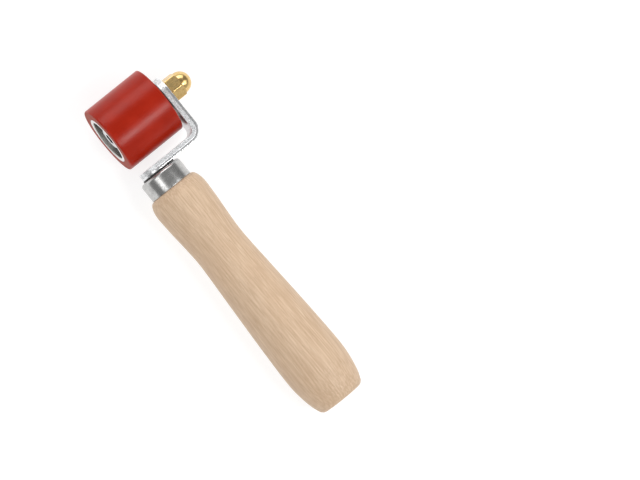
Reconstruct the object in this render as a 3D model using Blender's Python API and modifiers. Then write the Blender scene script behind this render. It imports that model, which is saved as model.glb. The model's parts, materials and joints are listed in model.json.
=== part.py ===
"""Hand seam roller for welding roofing membrane.

A silicone-covered steel roller turns on two ball bearings. A bent steel strip with
one arm carries its axle, and a long screw fastens the strip to a turned wooden
handle through a drawn steel ferrule.

The tool lies on a bench, resting on the roller and on the swell of the grip. +Z is
up, +Y runs from the butt of the handle to the roller, and the axle's nut is on the
+X side. Everything is in metres.

The pieces are drawn in two frames. In the tool's frame Z runs along the handle to
the nose, X along the axle to the nut, and the origin is where the two axes meet. In
the axle's frame Z runs along the axle to the nut.
"""

import math

import bmesh
import bpy
from mathutils import Matrix, Vector

# --- Driving dimensions -------------------------------------------------------
# The roller: a silicone tyre bonded to a steel core.
TYRE_RADIUS = 0.0200
TYRE_EDGE_RADIUS = 0.0006
ROLLER_WIDTH = 0.0367
ROLLER_OVERHANG = 0.0114  # how far the roller's free end lies past the handle's axis
CORE_RADIUS = 0.01425
CORE_CHAMFER = 0.0005
CORE_WEB_RADIUS = 0.0102  # bore between the two bearing seats
FREE_SEAT_DEPTH = 0.0095  # how deep the bearing lies in the free end
BRACKET_SEAT_DEPTH = 0.0005  # and in the end beside the bracket

# Ball bearing, 8 x 24 x 8 mm.
BEARING_BORE_RADIUS = 0.00405
BEARING_RADIUS = 0.0120
BEARING_WIDTH = 0.0080
BALL_RADIUS = 0.00198
BALL_COUNT = 7
BALL_CIRCLE_RADIUS = 0.0080
GROOVE_CLEARANCE = 0.0001
INNER_LAND_RADIUS = 0.0063
OUTER_LAND_RADIUS = 0.0098
SHIELD_THICKNESS = 0.00035
SHIELD_INSET = 0.0004
SHIELD_SEAT_RADIUS = 0.0105
CAGE_INNER_RADIUS = 0.0071
CAGE_OUTER_RADIUS = 0.0089
CAGE_BASE = 0.0006  # thickness of the cage behind the balls
CAGE_CROWN = 0.0010  # how far its prongs reach past the balls' centres
POCKET_CLEARANCE = 0.00012

# Axle: a socket-head cap screw, M8 x 40, with an acorn nut.
AXLE_RADIUS = 0.0040
AXLE_LENGTH = 0.0400
AXLE_TIP_CHAMFER = 0.0008
AXLE_HEAD_RADIUS = 0.0065
AXLE_HEAD_HEIGHT = 0.0080
AXLE_HEAD_CHAMFER = 0.0006
HEX_SOCKET_FLATS = 0.0060
HEX_SOCKET_DEPTH = 0.0043
SOCKET_TURN = math.radians(30)  # where the screw was held while the nut was tightened
AXLE_WASHER_RADIUS = 0.0080
AXLE_GAP = 0.0021  # clear space between the roller and the bracket
NUT_FLATS = 0.0130
NUT_HEX_HEIGHT = 0.0080
NUT_DOME_RADIUS = 0.0064
NUT_HEIGHT = 0.0145
NUT_BORE_DEPTH = 0.0110
NUT_CORNER_DROP = 0.0010  # how much lower its chamfered corners are
NUT_TURN = math.radians(13)  # where the nut came to a stop

# Bracket: a bent strip with full-round ends.
STRIP_WIDTH = 0.0200
STRIP_THICKNESS = 0.0040
BEND_INNER_RADIUS = 0.0040
AXLE_HOLE_RADIUS = 0.0042

# Screw that holds the bracket to the handle: 6 x 50 countersunk wood screw.
SCREW_RADIUS = 0.0030
SCREW_HEAD_RADIUS = 0.0058
SCREW_HEAD_RIM = 0.0003
SCREW_LENGTH = 0.0500
SCREW_POINT = 0.0060
CROSS_ARM = 0.0032
CROSS_HALF_SLOT = 0.0007
CROSS_DEPTH = 0.0022
CROSS_TURN = math.radians(20)  # where the screw came to a stop

# Ferrule and the washer between it and the bracket.
FERRULE_RADIUS = 0.01285
FERRULE_HEIGHT = 0.0110
FERRULE_WALL = 0.0010
FERRULE_EDGE_RADIUS = 0.0019
SUPPORT_WASHER_RADIUS = 0.0102
SUPPORT_WASHER_THICKNESS = 0.0009

# Handle, measured from its shoulder, where the ferrule ends.
AXLE_TO_SHOULDER = 0.0415
HANDLE_LENGTH = 0.1470
SHOULDER_LENGTH = 0.0090
# The grip's swells and waist: (distance from the shoulder, radius).
GRIP_STATIONS = (
    (0.0090, 0.0166),
    (0.0200, 0.0161),
    (0.0400, 0.0148),
    (0.0600, 0.0156),
    (0.0900, 0.0172),
    (0.1180, 0.0183),
    (0.1300, 0.0179),
    (0.1400, 0.0161),
    (0.1455, 0.0141),
)
GRIP_STEPS = 2  # profile points from one station to the next
BUTT_FLAT_RADIUS = 0.0125

# --- Fits and facets ----------------------------------------------------------
SEAT_GAP = 0.00005  # between pieces that are pressed or clamped together
ROUND_STEPS = 40
TYRE_STEPS = 64
BEARING_STEPS = 32
ARC_STEPS = 4
BEND_STEPS = 6
BALL_SEGMENTS = 12
BALL_RINGS = 8
SHARP_ANGLE = math.radians(35)
CUTTER_MARGIN = 0.0010  # how far a cutter reaches past what it cuts

# --- Places along the axle, from the handle's axis towards the nut -------------
ROLLER_START = -ROLLER_OVERHANG
ROLLER_END = ROLLER_START + ROLLER_WIDTH
FREE_BEARING_START = ROLLER_START + FREE_SEAT_DEPTH
FREE_BEARING_END = FREE_BEARING_START + BEARING_WIDTH
BRACKET_BEARING_END = ROLLER_END - BRACKET_SEAT_DEPTH
BRACKET_BEARING_START = BRACKET_BEARING_END - BEARING_WIDTH
ARM_INNER = ROLLER_END + AXLE_GAP
ARM_OUTER = ARM_INNER + STRIP_THICKNESS
NUT_TIP = ARM_OUTER + NUT_HEIGHT

# --- Places along the handle's axis, from the axle towards the nose ------------
SHOULDER_Z = -AXLE_TO_SHOULDER
FERRULE_TOP_Z = SHOULDER_Z + FERRULE_HEIGHT
STRIP_BOTTOM_Z = FERRULE_TOP_Z + SUPPORT_WASHER_THICKNESS
STRIP_TOP_Z = STRIP_BOTTOM_Z + STRIP_THICKNESS
BUTT_Z = SHOULDER_Z - HANDLE_LENGTH


# --- Outlines -----------------------------------------------------------------
def arc(centre, radius, start, end, steps=ARC_STEPS):
    """Points on a circular arc, from start to end in degrees, both ends included."""
    angles = [math.radians(start + (end - start) * i / steps) for i in range(steps + 1)]
    return [
        (centre[0] + radius * math.cos(a), centre[1] + radius * math.sin(a))
        for a in angles
    ]


def smooth_line(stations, steps):
    """Points on a Catmull-Rom curve that passes through all the stations."""
    knots = [Vector(station) for station in stations]
    knots = [2 * knots[0] - knots[1], *knots, 2 * knots[-1] - knots[-2]]
    line = []
    for a, b, c, d in zip(knots, knots[1:], knots[2:], knots[3:]):
        for i in range(steps):
            t = i / steps
            bend = (2 * a - 5 * b + 4 * c - d) * t**2 + (3 * b - a - 3 * c + d) * t**3
            line.append(tuple(b + ((c - a) * t + bend) / 2))
    return [*line, stations[-1]]


def shoulder_line():
    """The quarter ellipse from the ferrule's edge out to the grip's first station."""
    length, radius = GRIP_STATIONS[0]
    rise = radius - FERRULE_RADIUS
    angles = [math.radians(90 * i / ARC_STEPS) for i in range(ARC_STEPS)]
    return [
        (length * (1 - math.cos(a)), FERRULE_RADIUS + rise * math.sin(a))
        for a in angles
    ]


def grip_line():
    """The handle's outside from its shoulder to its butt: (distance, radius)."""
    return [
        *shoulder_line(),
        *smooth_line(GRIP_STATIONS, GRIP_STEPS),
        (HANDLE_LENGTH, BUTT_FLAT_RADIUS),
    ]


def lie_angle():
    """How far the butt drops below level when roller and grip both touch the bench."""
    angles = []
    for distance, radius in grip_line():
        reach = AXLE_TO_SHOULDER + distance
        span = math.hypot(reach, radius)
        angles.append(math.asin(TYRE_RADIUS / span) - math.atan2(radius, reach))
    return min(angles)


# --- Materials ----------------------------------------------------------------
def material(name, colour, roughness, metallic=0.0):
    made = bpy.data.materials.new(name)
    made.use_nodes = True
    shader = made.node_tree.nodes["Principled BSDF"]
    shader.inputs["Base Color"].default_value = (*colour, 1.0)
    shader.inputs["Roughness"].default_value = roughness
    shader.inputs["Metallic"].default_value = metallic
    made.diffuse_color = (*colour, 1.0)
    return made


# --- Shapes, each made at the origin in its own frame ---------------------------
def apply_modifiers(obj):
    """Puts the evaluated mesh in the object's place, so that its modifiers are done."""
    bpy.context.view_layer.update()
    graph = bpy.context.evaluated_depsgraph_get()
    mesh = bpy.data.meshes.new_from_object(obj.evaluated_get(graph))
    obj.modifiers.clear()
    obj.data = mesh


def new_object(name, data):
    obj = bpy.data.objects.new(name, data)
    bpy.context.scene.collection.objects.link(obj)
    return obj


def object_from_bmesh(name, bm):
    mesh = bpy.data.meshes.new(name)
    bm.to_mesh(mesh)
    bm.free()
    return new_object(name, mesh)


def turned(name, profile, steps=ROUND_STEPS, closed=True):
    """A (radius, height) profile turned about Z.

    It runs down the outside first. A closed profile makes a ring, and an open one,
    which starts and ends on the axis, makes a solid.
    """
    mesh = bpy.data.meshes.new(name)
    count = len(profile)
    edges = [(i, (i + 1) % count) for i in range(count if closed else count - 1)]
    mesh.from_pydata([(radius, 0.0, height) for radius, height in profile], edges, [])
    obj = new_object(name, mesh)
    screw = obj.modifiers.new("Turn", "SCREW")
    screw.axis = "Z"
    screw.steps = steps
    screw.render_steps = steps
    screw.use_merge_vertices = True
    screw.merge_threshold = 0.00001
    apply_modifiers(obj)
    return obj


def ring(name, inner, outer, bottom, top, steps=ROUND_STEPS):
    """A plain ring of square section."""
    return turned(
        name, [(outer, top), (outer, bottom), (inner, bottom), (inner, top)], steps
    )


def plate(name, outline, thickness):
    """A flat outline in its own XY plane, with half its thickness on either side."""
    curve = bpy.data.curves.new(name, "CURVE")
    curve.dimensions = "2D"
    curve.fill_mode = "BOTH"
    curve.extrude = thickness / 2
    spline = curve.splines.new("POLY")
    spline.points.add(len(outline) - 1)
    for point, (x, y) in zip(spline.points, outline):
        point.co = (x, y, 0.0, 1.0)
    spline.use_cyclic_u = True
    flat = new_object(name, curve)
    bpy.context.view_layer.update()
    graph = bpy.context.evaluated_depsgraph_get()
    bm = bmesh.new()
    bm.from_mesh(bpy.data.meshes.new_from_object(flat.evaluated_get(graph)))
    bmesh.ops.remove_doubles(bm, verts=bm.verts, dist=0.000001)
    bmesh.ops.recalc_face_normals(bm, faces=bm.faces)
    bpy.data.objects.remove(flat)
    return object_from_bmesh(name, bm)


def prism(name, sides, radius, height, bottom=0.0):
    """An upright prism or cylinder of that many sides."""
    bm = bmesh.new()
    bmesh.ops.create_cone(
        bm,
        cap_ends=True,
        segments=sides,
        radius1=radius,
        radius2=radius,
        depth=height,
    )
    bmesh.ops.translate(bm, verts=bm.verts, vec=(0.0, 0.0, bottom + height / 2))
    return object_from_bmesh(name, bm)


def ball(name, radius):
    bm = bmesh.new()
    bmesh.ops.create_uvsphere(
        bm, u_segments=BALL_SEGMENTS, v_segments=BALL_RINGS, radius=radius
    )
    return object_from_bmesh(name, bm)


def combine(obj, other, operation):
    """Cuts, joins or intersects obj with other, and removes other."""
    boolean = obj.modifiers.new(operation.title(), "BOOLEAN")
    boolean.operation = operation
    boolean.object = other
    apply_modifiers(obj)
    bpy.data.objects.remove(other)


def turn_mesh(obj, angle, axis):
    """Turns the mesh itself about the origin, by an angle in degrees."""
    obj.data.transform(Matrix.Rotation(math.radians(angle), 4, axis))


# --- The pieces ---------------------------------------------------------------
def make_tyre():
    edge, middle = TYRE_EDGE_RADIUS, TYRE_RADIUS - TYRE_EDGE_RADIUS
    bore = CORE_RADIUS + SEAT_GAP
    profile = [
        *arc((middle, ROLLER_END - edge), edge, 90, 0, 2),
        *arc((middle, ROLLER_START + edge), edge, 0, -90, 2),
        (bore, ROLLER_START),
        (bore, ROLLER_END),
    ]
    return turned("roller_tyre", profile, TYRE_STEPS)


def make_core():
    """Steel tube with a bearing seat in each end and a web between them."""
    seat = BEARING_RADIUS + SEAT_GAP * 2
    mouth = seat + CORE_CHAMFER
    profile = [
        (mouth, ROLLER_END),
        (CORE_RADIUS, ROLLER_END),
        (CORE_RADIUS, ROLLER_START),
        (mouth, ROLLER_START),
        (seat, ROLLER_START + CORE_CHAMFER),
        (seat, FREE_BEARING_END + SEAT_GAP),
        (CORE_WEB_RADIUS, FREE_BEARING_END + SEAT_GAP),
        (CORE_WEB_RADIUS, BRACKET_BEARING_START - SEAT_GAP),
        (seat, BRACKET_BEARING_START - SEAT_GAP),
        (seat, ROLLER_END - CORE_CHAMFER / 2),
    ]
    return turned("roller_core", profile)


def groove_arc(side):
    """The ball groove across a bearing ring: side 1 is the outer ring, -1 the inner."""
    radius = BALL_RADIUS + GROOVE_CLEARANCE
    land = OUTER_LAND_RADIUS if side > 0 else INNER_LAND_RADIUS
    reach = math.degrees(math.acos(abs(land - BALL_CIRCLE_RADIUS) / radius))
    facing = 0 if side > 0 else 180
    return arc((BALL_CIRCLE_RADIUS, 0.0), radius, facing - reach, facing + reach)


def make_inner_ring(name):
    half = BEARING_WIDTH / 2 - SEAT_GAP
    profile = [
        (INNER_LAND_RADIUS, half),
        *groove_arc(-1),
        (INNER_LAND_RADIUS, -half),
        (BEARING_BORE_RADIUS, -half),
        (BEARING_BORE_RADIUS, half),
    ]
    return turned(name, profile, BEARING_STEPS)


def make_outer_ring(name):
    """Outer ring, stepped at each face where a shield sits."""
    half = BEARING_WIDTH / 2 - SEAT_GAP
    step = half - SHIELD_INSET - SHIELD_THICKNESS - SEAT_GAP
    profile = [
        (SHIELD_SEAT_RADIUS, half),
        (BEARING_RADIUS, half),
        (BEARING_RADIUS, -half),
        (SHIELD_SEAT_RADIUS, -half),
        (SHIELD_SEAT_RADIUS, -step),
        (OUTER_LAND_RADIUS, -step),
        *groove_arc(1),
        (OUTER_LAND_RADIUS, step),
        (SHIELD_SEAT_RADIUS, step),
    ]
    return turned(name, profile, BEARING_STEPS)


def make_shield(name):
    outer = SHIELD_SEAT_RADIUS - SEAT_GAP * 2
    inner = INNER_LAND_RADIUS + SEAT_GAP * 4
    half = SHIELD_THICKNESS / 2
    return ring(name, inner, outer, -half, half, BEARING_STEPS)


def make_cage(name):
    """Crown cage: a ring with one open pocket for each ball."""
    base = BALL_RADIUS + POCKET_CLEARANCE + CAGE_BASE
    steps = BALL_COUNT * 4
    cage = ring(name, CAGE_INNER_RADIUS, CAGE_OUTER_RADIUS, -base, CAGE_CROWN, steps)
    for i in range(BALL_COUNT):
        angle = math.tau * i / BALL_COUNT
        pocket = ball("pocket_cutter", BALL_RADIUS + POCKET_CLEARANCE)
        pocket.location = (
            BALL_CIRCLE_RADIUS * math.cos(angle),
            BALL_CIRCLE_RADIUS * math.sin(angle),
            0.0,
        )
        pocket.rotation_euler = (0.0, 0.0, angle)
        combine(cage, pocket, "DIFFERENCE")
    return cage


def make_bearing_spacer():
    """Tube that keeps the two inner rings apart."""
    return ring(
        "bearing_spacer",
        BEARING_BORE_RADIUS + SEAT_GAP,
        INNER_LAND_RADIUS - SEAT_GAP * 4,
        FREE_BEARING_END + SEAT_GAP,
        BRACKET_BEARING_START - SEAT_GAP,
        BEARING_STEPS,
    )


def make_axle_washer():
    """Thick washer that holds the roller off the bracket."""
    return ring(
        "axle_washer",
        BEARING_BORE_RADIUS + SEAT_GAP,
        AXLE_WASHER_RADIUS,
        BRACKET_BEARING_END + SEAT_GAP,
        ARM_INNER - SEAT_GAP,
        BEARING_STEPS,
    )


def make_axle_bolt():
    """Socket-head cap screw, head at the roller's free end."""
    seat = FREE_BEARING_START - SEAT_GAP
    top = seat - AXLE_HEAD_HEIGHT
    tip = seat + AXLE_LENGTH
    profile = [
        (0.0, tip),
        (AXLE_RADIUS - AXLE_TIP_CHAMFER, tip),
        (AXLE_RADIUS, tip - AXLE_TIP_CHAMFER),
        (AXLE_RADIUS, seat),
        (AXLE_HEAD_RADIUS, seat),
        *arc(
            (AXLE_HEAD_RADIUS - AXLE_HEAD_CHAMFER, top + AXLE_HEAD_CHAMFER),
            AXLE_HEAD_CHAMFER,
            0,
            -90,
            2,
        ),
        (0.0, top),
    ]
    bolt = turned("axle_bolt", profile, BEARING_STEPS, closed=False)
    socket = prism(
        "socket_cutter",
        6,
        HEX_SOCKET_FLATS / math.sqrt(3),
        HEX_SOCKET_DEPTH + CUTTER_MARGIN,
        top - CUTTER_MARGIN,
    )
    combine(bolt, socket, "DIFFERENCE")
    return bolt


def make_acorn_nut():
    """Hexagon with chamfered corners, a dome on its far end and a blind bore."""
    corner, flats = NUT_FLATS / math.sqrt(3), NUT_FLATS / 2
    base, top = ARM_OUTER + SEAT_GAP, ARM_OUTER + NUT_HEX_HEIGHT
    outer = corner + CUTTER_MARGIN
    drop = NUT_CORNER_DROP * (outer - flats) / (corner - flats)
    profile = [
        (0.0, top),
        (flats, top),
        (outer, top - drop),
        (outer, base + drop),
        (flats, base),
        (0.0, base),
    ]
    nut = turned("acorn_nut", profile, closed=False)
    hexagon = prism("hexagon", 6, corner, NUT_HEIGHT, base - CUTTER_MARGIN)
    combine(nut, hexagon, "INTERSECT")
    dome_centre = (0.0, NUT_TIP - NUT_DOME_RADIUS)
    dome_profile = [
        *arc(dome_centre, NUT_DOME_RADIUS, 90, 0, 6)[1:],
        (NUT_DOME_RADIUS, top - CUTTER_MARGIN),
        (0.0, top - CUTTER_MARGIN),
    ]
    dome = turned("dome", [(0.0, NUT_TIP), *dome_profile], closed=False)
    combine(nut, dome, "UNION")
    bore = prism(
        "bore_cutter",
        BEARING_STEPS,
        AXLE_RADIUS + SEAT_GAP * 2,
        NUT_BORE_DEPTH + CUTTER_MARGIN,
        ARM_OUTER - CUTTER_MARGIN,
    )
    combine(nut, bore, "DIFFERENCE")
    return nut


def bent(point, start, middle_radius, level):
    """Where a point of the flat blank goes when the strip is bent up from start on."""
    along, across, above = point
    angle = min(max((along - start) / middle_radius, 0.0), math.pi / 2)
    rest = along - start - middle_radius * angle  # straight part past the bend, or before
    radius = middle_radius - above
    x = start + radius * math.sin(angle)
    z = level + middle_radius - radius * math.cos(angle)
    return (x + rest, across, z) if angle == 0.0 else (x, across, z + rest)


def make_bracket():
    """Strip with full-round ends, bent up to a right angle.

    One arm lies on the ferrule and the other holds the axle.
    """
    half = STRIP_WIDTH / 2
    middle_radius = BEND_INNER_RADIUS + STRIP_THICKNESS / 2
    bend_start = ARM_INNER - BEND_INNER_RADIUS
    bend_length = middle_radius * math.pi / 2
    upright_length = -(STRIP_TOP_Z + BEND_INNER_RADIUS)
    blank_end = bend_start + bend_length + upright_length
    outline = [
        *arc((0.0, 0.0), half, 90, 270, 16),
        *arc((blank_end, 0.0), half, -90, 90, 16),
    ]
    bracket = plate("bracket", outline, STRIP_THICKNESS)
    bm = bmesh.new()
    bm.from_mesh(bracket.data)
    for i in range(BEND_STEPS + 1):
        bmesh.ops.bisect_plane(
            bm,
            geom=[*bm.verts, *bm.edges, *bm.faces],
            plane_co=(bend_start + bend_length * i / BEND_STEPS, 0.0, 0.0),
            plane_no=(1.0, 0.0, 0.0),
        )
    level = (STRIP_BOTTOM_Z + STRIP_TOP_Z) / 2
    for vert in bm.verts:
        vert.co = bent(vert.co, bend_start, middle_radius, level)
    bm.to_mesh(bracket.data)
    bm.free()
    hole = prism(
        "axle_hole_cutter",
        BEARING_STEPS,
        AXLE_HOLE_RADIUS,
        STRIP_THICKNESS + 2 * CUTTER_MARGIN,
        ARM_INNER - CUTTER_MARGIN,
    )
    turn_mesh(hole, 90, "Y")
    combine(bracket, hole, "DIFFERENCE")
    combine(bracket, make_countersink(), "DIFFERENCE")
    return bracket


def make_countersink():
    """Cutter for the screw's hole, a little larger than the screw all over."""
    gap = SEAT_GAP * 2
    top, bottom = STRIP_TOP_Z + CUTTER_MARGIN, STRIP_BOTTOM_Z - CUTTER_MARGIN
    rim = STRIP_TOP_Z - SCREW_HEAD_RIM
    drop = SCREW_HEAD_RADIUS - SCREW_RADIUS
    profile = [
        (0.0, top),
        (SCREW_HEAD_RADIUS + gap, top),
        (SCREW_HEAD_RADIUS + gap, rim),
        (SCREW_RADIUS + gap, rim - drop),
        (SCREW_RADIUS + gap, bottom),
        (0.0, bottom),
    ]
    return turned("countersink_cutter", profile, BEARING_STEPS, closed=False)


def make_bracket_screw():
    """Countersunk wood screw with a cross recess."""
    top = STRIP_TOP_Z - SEAT_GAP
    rim = STRIP_TOP_Z - SCREW_HEAD_RIM
    profile = [
        (0.0, top),
        (SCREW_HEAD_RADIUS, top),
        (SCREW_HEAD_RADIUS, rim),
        (SCREW_RADIUS, rim - (SCREW_HEAD_RADIUS - SCREW_RADIUS)),
        (SCREW_RADIUS, top - SCREW_LENGTH + SCREW_POINT),
        (0.0, top - SCREW_LENGTH),
    ]
    screw = turned("bracket_screw", profile, BEARING_STEPS, closed=False)
    arm, slot = CROSS_ARM, CROSS_HALF_SLOT
    quarter = [Vector((arm, -slot)), Vector((arm, slot)), Vector((slot, slot))]
    outline = []
    for i in range(4):
        outline += [Matrix.Rotation(math.pi / 2 * i, 2) @ point for point in quarter]
    cross = plate("cross_cutter", outline, 2 * CROSS_DEPTH)
    cross.location.z = top
    cross.rotation_euler.z = CROSS_TURN
    combine(screw, cross, "DIFFERENCE")
    return screw


def make_ferrule():
    """Drawn steel cup over the handle's tenon, with a hole for the screw."""
    outer, inner = FERRULE_RADIUS, FERRULE_RADIUS - FERRULE_WALL
    hole = SCREW_RADIUS + SEAT_GAP * 4
    top = FERRULE_TOP_Z - SEAT_GAP
    edge = FERRULE_EDGE_RADIUS
    profile = [
        (hole, top),
        *arc((outer - edge, top - edge), edge, 90, 0),
        (outer, SHOULDER_Z + SEAT_GAP),
        (inner, SHOULDER_Z + SEAT_GAP),
        *arc(
            (outer - edge, top - edge), edge - FERRULE_WALL, 0, 90, 2
        ),
        (hole, top - FERRULE_WALL),
    ]
    return turned("ferrule", profile)


def make_support_washer():
    """Washer between the ferrule and the bracket."""
    return ring(
        "support_washer",
        SCREW_RADIUS + SEAT_GAP * 4,
        SUPPORT_WASHER_RADIUS,
        FERRULE_TOP_Z,
        STRIP_BOTTOM_Z - SEAT_GAP,
    )


def make_handle():
    """Turned handle with a tenon for the ferrule and a pilot hole for the screw."""
    tenon = FERRULE_RADIUS - FERRULE_WALL - SEAT_GAP * 2
    tenon_top = FERRULE_TOP_Z - FERRULE_WALL - SEAT_GAP * 3
    tenon_edge = 0.0012
    pilot = SCREW_RADIUS + SEAT_GAP * 2
    screw_end = STRIP_TOP_Z - SCREW_LENGTH
    outside = [(radius, SHOULDER_Z - distance) for distance, radius in grip_line()]
    profile = [
        (pilot, tenon_top),
        (tenon - tenon_edge, tenon_top),
        (tenon, tenon_top - tenon_edge),
        (tenon, SHOULDER_Z),
        *outside,
        (0.0, BUTT_Z),
        (0.0, screw_end - SEAT_GAP * 6),
        (pilot, screw_end + SCREW_POINT - SEAT_GAP * 4),
    ]
    return turned("handle", profile)


# --- Assembly -----------------------------------------------------------------
def frame(name, location, rotation, parent=None):
    """An empty that holds the pieces drawn in one frame."""
    made = new_object(name, None)
    made.location = location
    made.rotation_euler = rotation
    made.parent = parent
    made.empty_display_size = 0.01
    return made


def place(obj, parts, parent, finish, location=(0.0, 0.0, 0.0), turn=0.0):
    """Gives a piece its shading, material, collection and place in its frame."""
    obj.data.shade_smooth()
    obj.data.set_sharp_from_angle(angle=SHARP_ANGLE)
    obj.data.materials.clear()
    obj.data.materials.append(finish)
    bpy.context.scene.collection.objects.unlink(obj)
    parts.objects.link(obj)
    obj.parent = parent
    obj.location = location
    obj.rotation_euler = (0.0, 0.0, turn)


def add_bearing(label, start, parts, axle, roller, steel):
    """One ball bearing, whose nearer face is at start along the axle."""
    middle = (0.0, 0.0, start + BEARING_WIDTH / 2)
    place(make_inner_ring(f"{label}_inner_ring"), parts, axle, steel, middle)
    place(make_outer_ring(f"{label}_outer_ring"), parts, roller, steel, middle)
    inset = BEARING_WIDTH / 2 - SEAT_GAP - SHIELD_INSET - SHIELD_THICKNESS / 2
    for number, side in ((1, -1), (2, 1)):
        spot = (0.0, 0.0, middle[2] + side * inset)
        place(make_shield(f"{label}_shield_{number}"), parts, roller, steel, spot)
    cage = frame(f"{label}_cage_turns", middle, (0.0, 0.0, 0.0), axle)
    place(make_cage(f"{label}_cage"), parts, cage, steel)
    for i in range(BALL_COUNT):
        angle = math.tau * i / BALL_COUNT
        spot = Vector((math.cos(angle), math.sin(angle), 0.0)) * BALL_CIRCLE_RADIUS
        made = ball(f"{label}_ball_{i + 1}", BALL_RADIUS)
        place(made, parts, cage, steel, spot, angle)


def main():
    for obj in list(bpy.data.objects):
        bpy.data.objects.remove(obj)
    parts = bpy.data.collections.new("seam_roller")
    bpy.context.scene.collection.children.link(parts)

    silicone = material("red_silicone", (0.44, 0.022, 0.010), 0.45)
    wood = material("pale_wood", (0.66, 0.46, 0.29), 0.55)
    zinc = material("zinc_plate", (0.66, 0.67, 0.68), 0.35, 1.0)
    nickel = material("polished_nickel", (0.74, 0.73, 0.70), 0.12, 1.0)
    brass = material("brass", (0.78, 0.52, 0.20), 0.22, 1.0)
    steel = material("turned_steel", (0.62, 0.62, 0.61), 0.30, 1.0)
    bearing_steel = material("bearing_steel", (0.72, 0.72, 0.72), 0.15, 1.0)
    dark_steel = material("dark_steel", (0.05, 0.05, 0.055), 0.45, 1.0)

    # The origin is on the bench, under the middle of the tool.
    tilt = lie_angle()
    reach = -BUTT_Z * math.cos(tilt) + BUTT_FLAT_RADIUS * math.sin(tilt)
    grip_radius = max(radius for _, radius in GRIP_STATIONS)
    centre = ((grip_radius - NUT_TIP) / 2, (reach - TYRE_RADIUS) / 2, TYRE_RADIUS)

    tool = frame("tool", centre, (tilt - math.pi / 2, 0.0, 0.0))
    for piece, finish in (
        (make_handle(), wood),
        (make_ferrule(), nickel),
        (make_support_washer(), dark_steel),
        (make_bracket_screw(), zinc),
        (make_bracket(), zinc),
    ):
        place(piece, parts, tool, finish)

    axle = frame("axle", (0.0, 0.0, 0.0), (0.0, math.pi / 2, 0.0), tool)
    for piece, finish in (
        (make_bearing_spacer(), steel),
        (make_axle_washer(), dark_steel),
    ):
        place(piece, parts, axle, finish)
    place(make_axle_bolt(), parts, axle, zinc, turn=SOCKET_TURN)
    place(make_acorn_nut(), parts, axle, brass, turn=NUT_TURN)

    roller = frame("roller_turns", (0.0, 0.0, 0.0), (0.0, 0.0, 0.0), axle)
    place(make_tyre(), parts, roller, silicone)
    place(make_core(), parts, roller, steel)
    for label, start in (
        ("free_bearing", FREE_BEARING_START),
        ("bracket_bearing", BRACKET_BEARING_START),
    ):
        add_bearing(label, start, parts, axle, roller, bearing_steel)


main()
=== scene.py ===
"""Looks of a hand seam roller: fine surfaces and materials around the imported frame.

Every piece but the bearings' cages is drawn again in fine detail, and stands for its
CAD node. The cages keep their CAD shape and get a finish. Most pieces are drawn in the
tool's frame, where X runs along the axle to the nut and Z along the handle to the
nose, or in the axle's frame, where Z runs along the axle to the nut.
"""

import json
import math
from collections import namedtuple

import bmesh
import bpy
import numpy as np
from mathutils import Matrix, Vector, noise

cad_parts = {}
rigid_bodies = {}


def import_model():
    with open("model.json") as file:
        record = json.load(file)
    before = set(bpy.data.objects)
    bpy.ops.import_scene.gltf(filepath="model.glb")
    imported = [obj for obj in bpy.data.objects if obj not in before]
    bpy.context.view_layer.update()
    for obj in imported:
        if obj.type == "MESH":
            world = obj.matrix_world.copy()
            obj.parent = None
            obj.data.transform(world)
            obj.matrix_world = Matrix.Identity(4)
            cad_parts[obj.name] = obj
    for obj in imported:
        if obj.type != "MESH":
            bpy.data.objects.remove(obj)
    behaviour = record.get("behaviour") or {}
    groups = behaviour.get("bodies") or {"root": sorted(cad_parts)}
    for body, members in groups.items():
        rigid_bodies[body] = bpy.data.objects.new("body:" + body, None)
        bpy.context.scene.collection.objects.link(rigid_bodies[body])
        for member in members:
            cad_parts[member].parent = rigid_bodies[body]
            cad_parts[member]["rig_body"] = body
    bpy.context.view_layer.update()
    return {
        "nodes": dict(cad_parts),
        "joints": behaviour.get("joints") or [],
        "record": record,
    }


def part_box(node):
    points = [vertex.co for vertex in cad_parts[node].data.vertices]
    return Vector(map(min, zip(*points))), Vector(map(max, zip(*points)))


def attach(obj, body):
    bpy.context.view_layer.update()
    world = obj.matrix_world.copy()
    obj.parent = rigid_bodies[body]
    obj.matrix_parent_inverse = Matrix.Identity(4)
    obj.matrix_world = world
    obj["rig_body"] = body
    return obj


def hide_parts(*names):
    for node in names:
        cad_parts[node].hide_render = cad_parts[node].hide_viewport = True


MM = 0.001

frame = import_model()

# --- Sizes that the frame doesn't give ------------------------------------------------
STRIP_THICKNESS = 4.0 * MM
BEND_INNER_RADIUS = 4.0 * MM
AXLE_SHANK_RADIUS = 4.0 * MM
AXLE_HEAD_HEIGHT = 8.0 * MM
KEY_FLATS = 6.0 * MM
KEY_MOUTH_RADIUS = 3.52 * MM  # of the round chamfer over the key socket
NUT_FLATS = 13.0 * MM
NUT_HEX_HEIGHT = 8.0 * MM
NUT_DOME_RADIUS = 6.4 * MM
WOOD_SCREW_RADIUS = 3.0 * MM
BALL_COUNT = 7  # in each bearing

# --- How finely the pieces are drawn --------------------------------------------------
SHARP_ANGLE = math.radians(40)
FINE_STEPS = 240
RING_STEPS = 160
TYRE_STEPS = 288
BEND_CUTS = 16

# --- The two frames -------------------------------------------------------------------
Round = namedtuple("Round", "outer inner low high")


def tool_frame():
    """The tool's frame, from the roller's joint and the flat face of the butt."""
    joint = next(j for j in frame["joints"] if j["name"] == "roller_spin")
    butt = next(m for m in frame["record"]["mounts"] if m["name"] == "butt_face")
    nut = Vector(joint["axis"]).normalized()
    nose = -Vector(butt["axis"])
    nose = (nose - nose.dot(nut) * nut).normalized()
    turn = Matrix((nut, nose.cross(nut), nose)).transposed().to_4x4()
    return Matrix.Translation(joint["pos_m"]) @ turn


TOOL = tool_frame()
AXLE = TOOL @ Matrix.Rotation(math.pi / 2, 4, "Y")


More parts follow.
